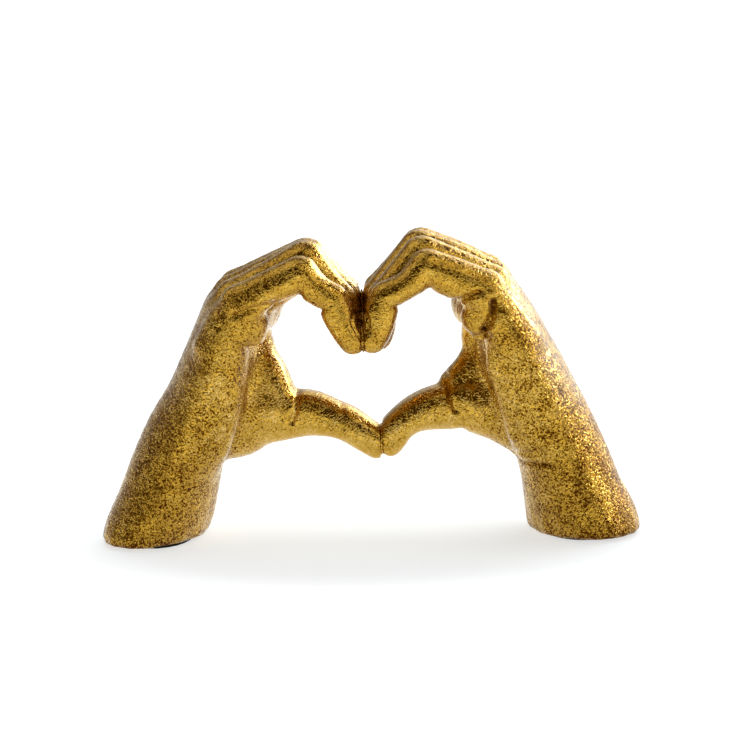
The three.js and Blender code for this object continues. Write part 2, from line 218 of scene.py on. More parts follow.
THUMB_BALL = {
    "left": [
        (84, 13, 41, 13, 12, 13),
        (74, 15.5, 45, 15, 12.3, 13.5),
        (62, 16.5, 49.6, 16, 15.4, 13),
        (52, 15.5, 55, 14, 14.0, 12),
    ],
    "right": [
        (84, 13, 39, 13, 13, 13),
        (74, 15.5, 45, 15, 13.2, 13.5),
        (62, 16.5, 52, 16, 13.2, 13),
        (52, 15.5, 55.5, 14, 12.6, 12),
    ],
}
WEB = {
    "left": [
        (57.2, 19, 97, 10, 11.4, 10),
        (54.6, 18.5, 89, 10, 11.8, 10.5),
        (52.4, 18, 80, 10.5, 13.4, 12),
        (48.6, 17.5, 72.2, 11, 14.4, 12.5),
        (44.6, 16.5, 64.4, 10, 13.2, 12),
    ],
    "right": [
        (57.5, 19, 99, 10, 10, 9),
        (53.6, 18.8, 92, 10, 9.4, 8),
        (53.9, 18.3, 82, 10.5, 9.2, 8),
        (50.4, 17.3, 73.4, 11, 9.6, 8.5),
        (42.4, 16, 66.4, 9.5, 10, 9),
    ],
}
THUMB = {
    "left": [
        (52, 15.5, 54, 12.65, 12.65, 11.5),
        (42.5, 14.5, 55.5, 10.45, 12.15, 10.5),
        (34, 13.5, 55.4, 10.45, 10.55, 10),
        (25, 12, 53.2, 9.25, 8.55, 9.6),
        (16.5, 10.5, 50.4, 8.45, 7.75, 9.8),
        (9.5, 9.2, 46.2, 8.05, 7.45, 9.2),
        (3.0, 8.4, 41.8, 7.85, 7.05, 7.8),
    ],
    "right": [
        (50, 15.5, 56, 12.65, 12.65, 11.5),
        (41, 14.5, 58.2, 11.25, 11.25, 10.5),
        (32, 13.5, 58.2, 10.05, 11.65, 10),
        (24, 12, 56.8, 9.65, 9.75, 9.8),
        (16, 10.5, 53.8, 8.85, 7.65, 9.8),
        (9.5, 9.2, 48.8, 8.85, 6.35, 9.2),
        (4.0, 8.4, 43.2, 8.25, 7.45, 7.8),
    ],
}
# How far the web's and the thumbs' sections are from an oval, which is 2
WEB_SQUARE = 2.6
THUMB_SQUARE = 2.8
# Creases on the little finger's side: a line of out and height, its depth and width, and how far across
# it goes
CREASES = {
    "left": [
        ([(61, 111), (55, 113.5), (48, 115), (43, 116.5)], 1.6, 1.5, -8),
        ([(33.4, 66.5), (34.2, 61), (36.5, 53)], 1.3, 1.4, 16),
        ([(13.6, 62), (12.6, 55), (12.4, 50)], 0.4, 1.3, 14),
        ([(61, 97), (56, 94.6), (50, 93)], 1.4, 1.7, 0),
    ],
    "right": [
        ([(52, 120), (48, 118.6), (44, 116.4), (39, 114.2)], 2.0, 1.5, -6),
        ([(57.6, 115), (57, 109), (53.5, 101.5)], 3.0, 1.8, -10),
        ([(55, 99), (50, 97.6), (44, 99)], 1.6, 1.6, 0),
        ([(36, 72), (37.6, 65), (40, 57)], 1.3, 1.4, 16),
        ([(66, 35.4), (74, 36), (83, 36.4)], 1.3, 0.8, 8),
        ([(67, 41.6), (73, 42), (79, 42.8)], 0.7, 1.1, 8),
    ],
}


# Fields of distances
class Field:
    """A box of grid points. Lengths are millimetres, and axes are out, across and up."""

    def __init__(self, low, high, step=GRID):
        self.low = np.array(low, float)
        self.step = step
        self.shape = tuple(np.ceil((np.array(high, float) - self.low) / step).astype(int) + 1)

    def window(self, low, high):
        """The slices of a smaller box, and its points as three thin arrays."""
        last_point = np.array(self.shape) - 1
        first = np.clip(np.floor((np.asarray(low) - self.low) / self.step).astype(int), 0, last_point)
        last = np.ceil((np.asarray(high) - self.low) / self.step).astype(int) + 1
        last = np.clip(last, first + 1, self.shape)
        axes = [self.low[i] + self.step * np.arange(first[i], last[i]) for i in range(3)]
        slices = tuple(slice(first[i], last[i]) for i in range(3))
        return slices, np.meshgrid(*axes, indexing="ij", sparse=True)

    def everywhere(self):
        return self.window(self.low, self.low + self.step * np.array(self.shape))[1]

    def empty(self):
        return np.full(self.shape, FAR, np.float32)


def smooth_min(a, b, width):
    """The nearer of two distances, with a fillet of about this width where they meet."""
    blend = np.maximum(width - np.abs(a - b), 0) / width
    return np.minimum(a, b) - blend * blend * (width / 4)


def smooth_max(a, b, width):
    return -smooth_min(-a, -b, width)


def bone_distance(points, a, b, square):
    """Distance to a tapering limb between two stations. It is oval at a square of 2, and flatter above."""
    start, end = np.array(a[:3]), np.array(b[:3])
    length = max(np.linalg.norm(end - start), 1e-6)
    axis = (end - start) / length
    side = np.array([0.0, 1.0, 0.0]) - axis * axis[1]
    side /= np.linalg.norm(side)
    back = np.cross(side, axis)
    x, y, z = (points[i] - start[i] for i in range(3))
    along = x * axis[0] + y * axis[1] + z * axis[2]
    share = np.clip(along / length, 0, 1)
    behind = x * back[0] + y * back[1] + z * back[2]
    aside = x * side[0] + y * side[1] + z * side[2]
    thick = np.where(behind > 0, a[3] + (b[3] - a[3]) * share, a[4] + (b[4] - a[4]) * share)
    broad = a[5] + (b[5] - a[5]) * share
    reach = np.minimum(thick, broad)
    behind = np.abs(behind / thick)
    aside = np.abs(aside / broad)
    over = np.abs(along - share * length) / reach
    near = (behind**square + aside**square + over**square) ** (1 / square)
    rise = square - 1
    slope = (behind**rise / thick) ** 2 + (aside**rise / broad) ** 2 + (over**rise / reach) ** 2
    return near**rise * (near - 1) / (np.sqrt(slope) + 1e-9)


def spline(stations, steps):
    """A smooth run of stations through the given ones."""
    given = np.asarray(stations, float)
    run = np.vstack([2 * given[0] - given[1], given, 2 * given[-1] - given[-2]])
    found = []
    for p0, p1, p2, p3 in zip(run[:-3], run[1:-2], run[2:-1], run[3:]):
        for t in np.arange(steps) / steps:
            curve = 2 * p0 - 5 * p1 + 4 * p2 - p3
            twist = 3 * p1 - p0 - 3 * p2 + p3
            found.append(0.5 * (2 * p1 + (p2 - p0) * t + curve * t**2 + twist * t**3))
    return np.array([*found, given[-1]])


def limb(field, stations, steps=3, turn=0.0, square=2.0):
    """Distances to a limb through stations. A turn moves its near side out, per millimetre across."""
    margin = 12.0
    made = field.empty()
    path = spline(stations, steps)
    for a, b in zip(path[:-1], path[1:]):
        around = max(a[3:].max(), b[3:].max()) + margin
        where, points = field.window(np.minimum(a, b)[:3] - around, np.maximum(a, b)[:3] + around)
        if turn:
            fade = np.clip(1 - points[2] / TURN_HEIGHT, 0, 1)
            points = [points[0] + turn * fade * points[1], points[1], points[2]]
        made[where] = smooth_min(made[where], bone_distance(points, a, b, square), 0.3)
    return made


def line_distance(points, line):
    """Distance to a line through given points."""
    nearest = FAR
    for a, b in zip(line[:-1], line[1:]):
        along = b - a
        offset = [points[i] - a[i] for i in range(3)]
        share = np.clip(sum(offset[i] * along[i] for i in range(3)) / along.dot(along), 0, 1)
        nearest = np.minimum(nearest, np.sqrt(sum((offset[i] - share * along[i]) ** 2 for i in range(3))))
    return nearest


def groove(field, flesh, line, depth, width):
    """Sinks the skin along a line."""
    path = spline(line, 4) if len(line) > 2 else np.asarray(line, float)
    where, points = field.window(path.min(0) - 3 * width, path.max(0) + 3 * width)
    flesh[where] += depth * np.exp(-((line_distance(points, path) / width) ** 2))


def crease(field, flesh, line, depth, width, last):
    """Sinks the near side's skin along a line of out and height, as far across as the last."""
    path = spline([(out, 0, up) for out, up in line], 4)
    low, high = path.min(0) - 3 * width, path.max(0) + 3 * width
    low[1], high[1] = field.low[1], last + 6
    where, points = field.window(low, high)
    fade = np.clip((last + 3 - points[1]) / 6, 0, 1)
    flat = [points[0], 0 * points[1], points[2]]
    flesh[where] += fade * depth * np.exp(-((line_distance(flat, path) / width) ** 2))


def nail(field, flesh, centre, along, normal, length, width):
    """A nail plate that stands a little proud within a sunken rim. Its length and width are half ones."""
    reach = length + 6
    where, points = field.window(centre - reach, centre + reach)
    offset = [points[i] - centre[i] for i in range(3)]
    aside = np.cross(along, normal)
    ahead, sideways, over = (sum(offset[i] * axis[i] for i in range(3)) for axis in (along, aside, normal))
    edge = (np.abs(ahead / length) ** 3 + np.abs(sideways / width) ** 3) ** (1 / 3)
    plate = np.clip((1.06 - edge) / 0.25, 0, 1)
    rim = np.exp(-(((edge - 1.05) / 0.16) ** 2))
    flesh[where] += np.where(over > 0, 0.7 * rim - 0.35 * plate, 0)


# One hand
def knuckle_shift(side, height):
    """How far the top of the palm leans towards the fingers' meeting plane."""
    share = np.clip((height - LEAN_START) / LEAN_RISE, 0, 1)
    return side * FINGER_PLANE * share * share * (3 - 2 * share)


def arm_stations(hand):
    side, foot, thick = hand["side"], hand["foot"], hand["foot_thick"]
    wrist, back = hand["wrist"], hand["back"]
    low = [
        (foot + 0.6, 0, -4, thick + 0.6, thick + 0.6, 28.2),
        (foot - 0.4, 0, 4, thick, thick, 28),
        (96 + wrist, 0, 16, 22.8, 22.8 + 0.8 * side, 28),
    ]
    shifts = [0, 0, 0, wrist, wrist / 2, hand["heel"], hand["palm"], back, back]
    stations = zip(low + WRIST, shifts)
    return [(s[0] + shift + knuckle_shift(side, s[2]), *s[1:]) for s, shift in stations]


def finger_stations(finger, hand):
    side = hand["side"]
    shape = FINGERS[finger] | FINGERS[finger].get("left" if side < 0 else "right", {})
    across = shape["across"] * FINGER_PITCH
    knuckle_lift = hand["knuckle_lift"]
    peak_lift = side * shape["rise"]
    moves = {
        "knuckle": (hand["knuckle_out"], knuckle_lift),
        "first": (hand["peak_out"] / 2, (knuckle_lift + peak_lift) / 2 + hand["bone_lift"]),
        "peak": (hand["peak_out"], peak_lift),
        "second": (hand["peak_out"] / 2, (peak_lift + hand["end_lift"]) / 2),
        "end": (0, hand["end_lift"]),
    }
    found = {}
    for joint in JOINTS:
        out, up, *sizes = shape[joint]
        move_out, move_up = moves.get(joint, (0, 0))
        found[joint] = (side * FINGER_PLANE + out + move_out, across, up + move_up, *sizes)
    return found


def unit(vector):
    return np.array(vector) / np.linalg.norm(vector)


def joint_crease(field, flesh, before, joint, after, share, depth, width):
    """A crease round the palm side of a bent joint, at a share of its half thickness from its centre."""
    palm = np.cross(unit(np.array(after[:3]) - before[:3]), (0, 1, 0))
    line = []
    for angle in np.radians(np.linspace(-80, 80, 9)):
        reach = share * joint[4] * math.cos(angle) * palm
        line.append(np.array(joint[:3]) + reach + (0, joint[5] * math.sin(angle), 0))
    groove(field, flesh, line, depth, width)


def knuckle_wrinkles(field, flesh, before, joint, after, gap, depth):
    """Three fine folds over the back of a joint."""
    along = unit(np.array(after[:3]) - before[:3])
    back = np.cross((0, 1, 0), along)
    for shift in (-gap, 0, gap):
        line = []
        for angle in np.radians(np.linspace(-36, 36, 7)):
            fold = shift * (1 + 0.3 * math.cos(3 * angle)) * along
            rise = joint[3] * math.cos(angle) * back
            line.append(np.array(joint[:3]) + fold + rise + (0, joint[5] * math.sin(angle), 0))
        groove(field, flesh, line, depth, 0.9)


def finger_nail(field, flesh, at):
    """A nail on the back of a finger's end bone."""
    top, low = np.array(at["pulp"]), np.array(at["tip"])
    along = unit(low[:3] - top[:3])
    back = np.cross((0, 1, 0), along)
    centre = 0.35 * top[:3] + 0.65 * low[:3] + 0.5 * low[3] * back
    nail(field, flesh, centre, along, back, 6.2, 0.78 * low[5])


def pad_edge(name, x, y):
    """Millimetres outside the felt pad's oval, at places in metres."""
    low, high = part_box(f"{name}_felt_pad")
    middle, half = (low + high) / 2, (high - low) / 2
    return (np.sqrt(((x - middle.x) / half.x) ** 2 + ((y - middle.y) / half.y) ** 2) - 1) * half.x / MM


def sculpt(name):
    """A hand's field and its distances. The last number of each join is its fillet's width."""
    hand = HANDS[name]
    side = hand["side"]
    field = Field(SCULPT_LOW[name], SCULPT_HIGH)
    flesh = limb(field, arm_stations(hand), turn=hand["foot_turn"])
    flesh = smooth_min(flesh, limb(field, HEEL), 4.5 if side < 0 else 2.5)
    flesh = smooth_min(flesh, limb(field, HEEL_EDGE[name]), 2)
    flesh = smooth_min(flesh, limb(field, FINGER_PADS[name]), 3)
    flesh = smooth_min(flesh, limb(field, LITTLE_PAD[name]), 2)
    flesh = smooth_min(flesh, limb(field, HOLLOW), 6)
    flesh = smooth_min(flesh, limb(field, THUMB_BALL[name], 4), 5)
    flesh = smooth_min(flesh, limb(field, WEB[name], square=WEB_SQUARE), 6)
    fingers = field.empty()
    for finger in FINGERS:
        at = finger_stations(finger, hand)
        bones = limb(field, [at["knuckle"], at["first"], at["peak"]])
        bones = smooth_min(bones, limb(field, [at["peak"], at["second"], at["end"]]), 1.2)
        bones = smooth_min(bones, limb(field, [at["end"], at["pulp"], at["low"], at["tip"]]), 1.2)
        fingers = smooth_min(fingers, bones, 0.8)
        root_out, root_up = FINGER_ROOT
        root_out += hand["back"] + knuckle_shift(side, root_up)
        root = (root_out, 0.88 * at["knuckle"][1], root_up, 10.5, 9, 8)
        flesh = smooth_min(flesh, limb(field, [root, at["knuckle"]], 1), 4)
    flesh = smooth_min(flesh, fingers, 3)
    thumb = [(station[0] + side * THUMB_PLANE, *station[1:]) for station in THUMB[name]]
    flesh = smooth_min(flesh, limb(field, thumb, 4, square=THUMB_SQUARE), 2)
    for finger in FINGERS:
        at = finger_stations(finger, hand)
        joint_crease(field, flesh, at["first"], at["peak"], at["second"], 1.15, 1.3, 1.3)
        joint_crease(field, flesh, at["second"], at["end"], at["pulp"], 1.05, 1.1, 1.1)
        knuckle_wrinkles(field, flesh, at["first"], at["peak"], at["second"], 2.3, 0.28)
        finger_nail(field, flesh, at)
    thumb_along = unit(np.array(thumb[-1][:3]) - thumb[-3][:3])
    thumb_back = unit(np.cross(np.cross(thumb_along, (0, 0.9, -0.45)), thumb_along))
    nail(field, flesh, np.array(thumb[-2][:3]) + 4 * thumb_back, thumb_along, thumb_back, 7.4, 6.6)
    for line, depth, width, last in CREASES[name]:
        crease(field, flesh, line, depth, width, last)
    out, across, up = field.everywhere()
    wavy = np.sin(0.5 * out + 0.4 * across) * np.sin(0.45 * across - 0.25 * out + 1)
    flesh = flesh + 0.45 * wavy * np.clip(1 - up / 16, 0, 1)
    flesh = smooth_max(flesh, RIM - up, 4)
    recess = np.maximum(pad_edge(name, side * out * MM, across * MM) - RECESS_GAP, up - PAD_TOP)
    flesh = np.maximum(flesh, -recess)
    plane = np.where(up > HEART_MIDDLE, FINGER_PLANE, THUMB_PLANE)
    flesh = smooth_max(flesh, HALF_FILM - (out - side * plane), 0.5)
    return field, flesh


# Skinning
def sample(field, values, points):
    """Values between the grid's points."""
    where = (points - field.low) / field.step
    base = np.clip(np.floor(where).astype(int), 0, np.array(field.shape) - 2)
    part = where - base
    total = np.zeros(len(points))
    for corner in np.ndindex(2, 2, 2):
        weight = np.prod(np.where(corner, part, 1 - part), axis=1)
        total += weight * values[tuple((base + corner).T)]
    return total


def skin(field, distances):
    """Corner points and quads of the surface where the distances change sign."""
    inside = distances < 0
    shape = np.array(distances.shape)
    count = np.zeros(shape - 1, np.uint8)
    for corner in np.ndindex(2, 2, 2):
        count += inside[tuple(slice(c, n - 1 + c) for c, n in zip(corner, shape))]
    cells = np.argwhere((count > 0) & (count < 8))
    number = np.full(count.shape, -1, np.int64)
    number[tuple(cells.T)] = np.arange(len(cells))
    total = np.zeros((len(cells), 3))
    hits = np.zeros(len(cells))
    for corner in np.ndindex(2, 2, 2):
        for axis in np.flatnonzero(np.array(corner) == 0):
            other = np.array(corner)
            other[axis] = 1
            low = distances[tuple((cells + corner).T)]
            high = distances[tuple((cells + other).T)]
            crossing = (low < 0) != (high < 0)
            spot = np.tile(np.array(corner, float), (len(cells), 1))
            spot[:, axis] = np.where(crossing, low / np.where(crossing, low - high, 1), 0)
            total += spot * crossing[:, None]
            hits += crossing
    points = field.low + field.step * (cells + total / hits[:, None])
    quads = []
    for axis in range(3):
        u, v = (axis + 1) % 3, (axis + 2) % 3
        first = inside.take(range(shape[axis] - 1), axis)
        second = inside.take(range(1, shape[axis]), axis)
        edges = np.argwhere(first != second)
        leaving = first[tuple(edges.T)]
        ring = []
        for du, dv in ((0, 0), (1, 0), (1, 1), (0, 1)):
            cell = edges.copy()
            cell[:, u] -= du
            cell[:, v] -= dv
            ring.append(number[tuple(cell.T)])
        ring = np.stack(ring, 1)
        ring[~leaving] = ring[~leaving][:, ::-1]
        quads.append(ring)
    return settle(field, distances, points), np.concatenate(quads)


def settle(field, distances, points):
    """Points moved onto the surface along the distances' slope."""
    half = field.step / 2
    for _ in range(2):
        slope = np.zeros_like(points)
        for axis in range(3):
            nudge = np.zeros(3)
            nudge[axis] = half
            ahead = sample(field, distances, points + nudge)
            slope[:, axis] = (ahead - sample(field, distances, points - nudge)) / field.step
        steep = np.maximum((slope**2).sum(1), 0.2)
        move = sample(field, distances, points) / steep
        points = points - slope * np.clip(move, -half, half)[:, None]
    return points


def blurred(distances, reach):
    """Distances averaged over a box, that reaches so many grid steps each way."""
    made = np.clip(distances, -6, 6)
    wide = 2 * reach + 1
    for axis in range(3):
        margins = [(reach + 1, reach) if a == axis else (0, 0) for a in range(3)]
        total = np.cumsum(np.pad(made, margins, "edge"), axis)
        count = distances.shape[axis]
        made = (total.take(range(wide, wide + count), axis) - total.take(range(count), axis)) / wide
    return made


def mesh_object(name, points, faces):
    """An object from points in metres and faces of equal length."""
    mesh = bpy.data.meshes.new(name)
    corners = faces.shape[1]
    mesh.vertices.add(len(points))
    mesh.vertices.foreach_set("co", np.ascontiguousarray(points, np.float32).ravel())
    mesh.loops.add(faces.size)
    mesh.loops.foreach_set("vertex_index", faces.astype(np.int32).ravel())
    mesh.polygons.add(len(faces))
    mesh.polygons.foreach_set("loop_start", np.arange(0, faces.size, corners, dtype=np.int32))
    mesh.polygons.foreach_set("use_smooth", np.ones(len(faces), bool))
    mesh.update(calc_edges=True)
    mesh.validate()
    made = bpy.data.objects.new(name, mesh)
    bpy.context.scene.collection.objects.link(made)
    return made


def mirrored(points, side):
    return points * (side, 1, 1)


def hand_piece(name):
    """A hand's skin. Its relief is below nothing in hollows, and above nothing on ridges."""
    side = HANDS[name]["side"]
    field, distances = sculpted[name]
    points, quads = skin(field, distances)
    # The other hand's skin counts too near the middle, so the clefts between the hands read as hollows,
    # which the gold darkens partly as wash and partly as painted shade.
    other_field, other_distances = sculpted["right" if side < 0 else "left"]
    where, nearby = field.window(field.low, (CLEFT, *SCULPT_HIGH[1:]))
    nearby = np.stack([a.ravel() for a in np.broadcast_arrays(*nearby)], 1)
    both = distances.copy()
    other = sample(other_field, other_distances, mirrored(nearby, -1))
    both[where] = np.minimum(both[where], other.reshape(both[where].shape))
    relief = sample(field, blurred(both, round(RELIEF_REACH / field.step)), points)
    if side < 0:
        quads = quads[:, ::-1]
    made = mesh_object(f"{name}_hand_skin", mirrored(points, side) * MM, quads)
    attribute = made.data.attributes.new("relief", "FLOAT", "POINT")
    attribute.data.foreach_set("value", relief.astype(np.float32))
    return made


def glue_piece(name, plane, low, high, reach):
    """The set glue in a seam, wherever both hands are within its reach."""
    field = Field((plane - 5, -36, low), (plane + 5, 36, high), 0.45)
    x, y, z = (a.ravel() for a in np.broadcast_arrays(*field.everywhere()))
    world_points = np.stack([x, y, z], 1)
    gaps = []
    for hand, (hand_field, distances) in sculpted.items():
        gaps.append(sample(hand_field, distances, mirrored(world_points, HANDS[hand]["side"])))
    distances = smooth_max(*gaps, SEAM_HOLLOW) - reach
    points, quads = skin(field, distances.reshape(field.shape))
    made = mesh_object(f"{name}_seam", points * MM, quads)
    made.data.attributes.new("relief", "FLOAT", "POINT")
    return made


def felt_piece(name):
    """A felt pad with a soft edge."""
    low, high = (np.array(corner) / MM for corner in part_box(f"{name}_felt_pad"))
    field = Field(low - 2, high + 2, 0.5)
    x, y, z = field.everywhere()
    slab = np.abs(z - (low[2] + high[2]) / 2) - (high[2] - low[2]) / 2
    edge = pad_edge(name, x * MM, y * MM) + 0.15 * np.sin(0.9 * x) * np.sin(0.8 * y + 1) + 0.15
    points, quads = skin(field, smooth_max(slab, edge, 1.2) + 0 * (x + y))
    return mesh_object(f"{name}_felt", points * MM, quads)


# Materials
def new_material(name):
    material = bpy.data.materials.new(name)
    material.use_nodes = True
    nodes = material.node_tree.nodes
    return material, nodes, material.node_tree.links, nodes["Principled BSDF"]


def noise(nodes, links, place, scale, detail=2.0, distortion=0.0):
    made = nodes.new("ShaderNodeTexNoise")
    made.inputs["Scale"].default_value = scale
    made.inputs["Detail"].default_value = detail
    made.inputs["Distortion"].default_value = distortion
    links.new(place, made.inputs["Vector"])
    return made.outputs["Fac"]


def math_node(nodes, links, operation, *values):
    """A Math node whose inputs are numbers or other nodes' outputs."""
    made = nodes.new("ShaderNodeMath")
    made.operation = operation
    for socket, value in zip(made.inputs, values):
        if isinstance(value, (int, float)):
            socket.default_value = value
        else:
            links.new(value, socket)
    return made.outputs["Value"]


def remap(nodes, links, value, low, high, to_low=0.0, to_high=1.0):
    """A value brought smoothly from one range to another."""
    made = nodes.new("ShaderNodeMapRange")
    made.interpolation_type = "SMOOTHSTEP"
    ends = {"From Min": low, "From Max": high, "To Min": to_low, "To Max": to_high}
    for socket, given in ends.items():
        made.inputs[socket].default_value = given
    links.new(value, made.inputs["Value"])
    return made.outputs["Result"]


def colour_mix(nodes, links, share, first, second):
    """A colour between two given ones, by a share that another node puts out."""
    made = nodes.new("ShaderNodeMix")
    made.data_type = "RGBA"
    links.new(share, made.inputs["Factor"])
    sockets = [s for s in made.inputs if s.type == "RGBA"]
    for socket, colour in zip(sockets, (first, second)):
        socket.default_value = (*colour, 1)
    return next(s for s in made.outputs if s.type == "RGBA")


# The gold's tones, from the wash in the pits to the brightest leaf, each with its place on the ramp
GOLD_TONES = [
    (0.0, (0.095, 0.026, 0.0004)),
    (0.3, (0.24, 0.095, 0.001)),
    (0.6, (0.52, 0.28, 0.006)),
    (0.8, (0.65, 0.395, 0.045)),
    (1.0, (0.78, 0.54, 0.2)),
]
GOLD_EDGE = (1, 0.97, 0.9)  # the tint of its glancing reflections
FINGER_PITS = 0.37  # the share of the grain that is pitted on the fingers
FOREARM_PITS = 0.46
PATCH_SCALE = 110  # noise waves to a metre
WORM_SCALE = 330
GRAIN_SCALE = 1150
PIT_ROUGHNESS = 0.34
LEAF_ROUGHNESS = 0.16
LACQUER_ROUGHNESS = 0.14
CRINKLE_HEIGHT = 0.0002


def gold_material(name, wash):
    """Speckled gold, with a share of wash all over. Places are in metres, and relief in millimetres."""
    material, nodes, links, shader = new_material(name)

    def ranged(value, low, high, to_low=0.0, to_high=1.0):
        return remap(nodes, links, value, low, high, to_low, to_high)

    def joined(operation, *values):
        return math_node(nodes, links, operation, *values)

    texture = nodes.new("ShaderNodeTexCoord")
    place = texture.outputs["Object"]
    axes = nodes.new("ShaderNodeSeparateXYZ")
    links.new(place, axes.inputs["Vector"])
    right, height = axes.outputs["X"], axes.outputs["Z"]
    facing = nodes.new("ShaderNodeSeparateXYZ")
    links.new(texture.outputs["Normal"], facing.inputs["Vector"])
    facing_right, facing_up = facing.outputs["X"], facing.outputs["Z"]
    out = joined("ABSOLUTE", right)
    attribute = nodes.new("ShaderNodeAttribute")
    attribute.attribute_name = "relief"
    relief = attribute.outputs["Fac"]
    patches = noise(nodes, links, place, PATCH_SCALE, 3)
    worms = noise(nodes, links, place, WORM_SCALE, 1, 1.8)
    grain = noise(nodes, links, place, GRAIN_SCALE, 2, 0.8)
    # Pits, that are thickest towards the wrists and rubbed away on ridges. More pits in hollows are partly
    # wash and partly painted shade. More at the lowest millimetres of the feet are painted shade where they
    # meet the floor, and more on the right hand's outer side are painted shade.
    pitted = ranged(out, 0.03, 0.09, FINGER_PITS + wash, FOREARM_PITS + wash)
    pitted = joined("ADD", pitted, ranged(patches, 0.3, 0.7, 0.035, -0.035))
    # Painted shade in hollows and in the clefts between the hands, besides the wash that lies there
    pitted = joined("ADD", pitted, ranged(relief, -1.4, -0.3, 0.22, 0))
    pitted = joined("ADD", pitted, ranged(relief, 0.2, 1.2, 0, -0.08))
    # Painted shade at the feet, where they meet the floor
    pitted = joined("ADD", pitted, ranged(height, 0.001, 0.006, 0.08, 0))
    # Painted shade on the right hand's outer side
    pitted = joined("ADD", pitted, ranged(right, 0.09, 0.112, 0, 0.03))
    # The thumbs are smooth underneath
    smooth = ranged(facing_up, -0.5, -0.1, -0.1, 0)
    smooth = joined("MULTIPLY", smooth, ranged(out, 0.04, 0.06, 1, 0))
    smooth = joined("MULTIPLY", smooth, ranged(height, 0.06, 0.08, 1, 0))
    pitted = joined("ADD", pitted, smooth)
    whole = joined("SUBTRACT", grain, pitted)
    whole = ranged(whole, -0.07, 0.055)
    # The foil's crinkles: curling crests where the noise is near its middle
    crest = joined("ABSOLUTE", joined("SUBTRACT", worms, 0.5))
    crest = ranged(crest, 0, 0.1, 1, 0)
    # The leaf's tone, which is darker on the fingers and the forearms
    tone = joined("MULTIPLY", whole, joined("MULTIPLY_ADD", crest, 0.2, 0.6))
    tone = joined("ADD", tone, ranged(patches, 0.3, 0.7, 0.03, 0.13))
    tone = joined("ADD", tone, ranged(height, 0.08, 0.1, 0, -0.1))
    tone = joined("ADD", tone, ranged(out, 0.07, 0.095, 0, -0.12))
    # Painted shade on up-facing surfaces below the fingers, mostly the thumbs' tops, and painted shade deep
    # in the hollows and in the clefts between the hands
    thumb_top_shade = ranged(facing_up, 0.2, 0.8, 0, -0.05)
    thumb_top_shade = joined("MULTIPLY", thumb_top_shade, ranged(height, 0.08, 0.09, 1, 0))
    tone = joined("ADD", tone, thumb_top_shade)
    # Painted shade deep in the hollows and in the clefts between the hands
    tone = joined("ADD", tone, ranged(relief, -2.5, -0.5, -0.2, 0))
    ramp = nodes.new("ShaderNodeValToRGB")
    while len(ramp.color_ramp.elements) < len(GOLD_TONES):
        ramp.color_ramp.elements.new(0.5)
    for stop, (spot, colour) in zip(ramp.color_ramp.elements, GOLD_TONES):
        stop.position, stop.color = spot, (*colour, 1)
    links.new(tone, ramp.inputs["Fac"])
    links.new(ramp.outputs["Color"], shader.inputs["Base Color"])
    links.new(ranged(whole, 0, 1, PIT_ROUGHNESS, LEAF_ROUGHNESS), shader.inputs["Roughness"])
    shader.inputs["Metallic"].default_value = 1
    shader.inputs["Specular Tint"].default_value = (*GOLD_EDGE, 1)
    bump = nodes.new("ShaderNodeBump")
    links.new(ranged(out, 0.03, 0.08, 0.5, 1), bump.inputs["Strength"])
    bump.inputs["Distance"].default_value = CRINKLE_HEIGHT
    links.new(joined("MULTIPLY_ADD", whole, 0.5, crest), bump.inputs["Height"])
    links.new(bump.outputs["Normal"], shader.inputs["Normal"])
    # A thin clear lacquer on the leaf, which whitens its highlights. It is full where the hands face right,
    # above the wrists, as a painted sheen on the sides that face the right-hand lamps.
    lacquer_and_sheen = ranged(facing_right, 0.4, 0.7)
    lacquer_and_sheen = joined("MULTIPLY", lacquer_and_sheen, ranged(height, 0.045, 0.075))
    lacquer_and_sheen = joined("MAXIMUM", lacquer_and_sheen, ranged(whole, 0.5, 1, 0, 0.6))
    links.new(lacquer_and_sheen, shader.inputs["Coat Weight"])
    shader.inputs["Coat Roughness"].default_value = LACQUER_ROUGHNESS
    links.new(bump.outputs["Normal"], shader.inputs["Coat Normal"])
    return material


def plain_material(name, dark, light, scale, roughness, metallic):
    """A speckled finish between two near colours, for pieces that hardly show."""
    material, nodes, links, shader = new_material(name)
    place = nodes.new("ShaderNodeTexCoord").outputs["Object"]
    grain = noise(nodes, links, place, scale, 4)
    ramp = nodes.new("ShaderNodeValToRGB")
    ramp.color_ramp.elements[0].color = (*dark, 1)
    ramp.color_ramp.elements[1].color = (*light, 1)
    links.new(grain, ramp.inputs["Fac"])
    links.new(ramp.outputs["Color"], shader.inputs["Base Color"])
    shader.inputs["Roughness"].default_value = roughness
    shader.inputs["Metallic"].default_value = metallic
    return material


# Stage
VIEW_ELEVATION = math.radians(12)
VIEW_ROLL = math.radians(1.13)
VIEW_DISTANCE = 2.5
FRAME_WIDTH = 0.3442  # metres across the picture, at the object
VIEW_CENTRE = (-0.0005, 0.0772)  # right of and above the origin, as seen by the camera
FLOOR_REACH = 6.0
ROOM_TINT = (1, 0.6, 0.2)  # of the room's dark parts
LAMP_TARGET = (0, 0, 0.07)
# Each lamp's place, size and radiance. Those in the first table show only in the gold's reflections.
MIRRORED_LAMPS = {
    "window": ((0.62, 1.0, 0.5), (0.6, 0.5), 3),
    "side window": ((0.98, 0.55, 0.5), (0.6, 0.45), 13),
    "back top": ((0.15, 0.75, 0.95), (0.6, 0.35), 1.2),
    "front top": ((0.41, -0.48, 0.97), (0.9, 0.8), 1.1),
    "front right": ((0.87, -0.35, 0.33), (0.8, 0.5), 1.2),
    "left top": ((-0.64, 0.05, 0.85), (0.8, 1.2), 0.9),
}
FLOOR_LAMP = ((0.05, 0.27, 1.0), (1.0, 0.8), 1.3)


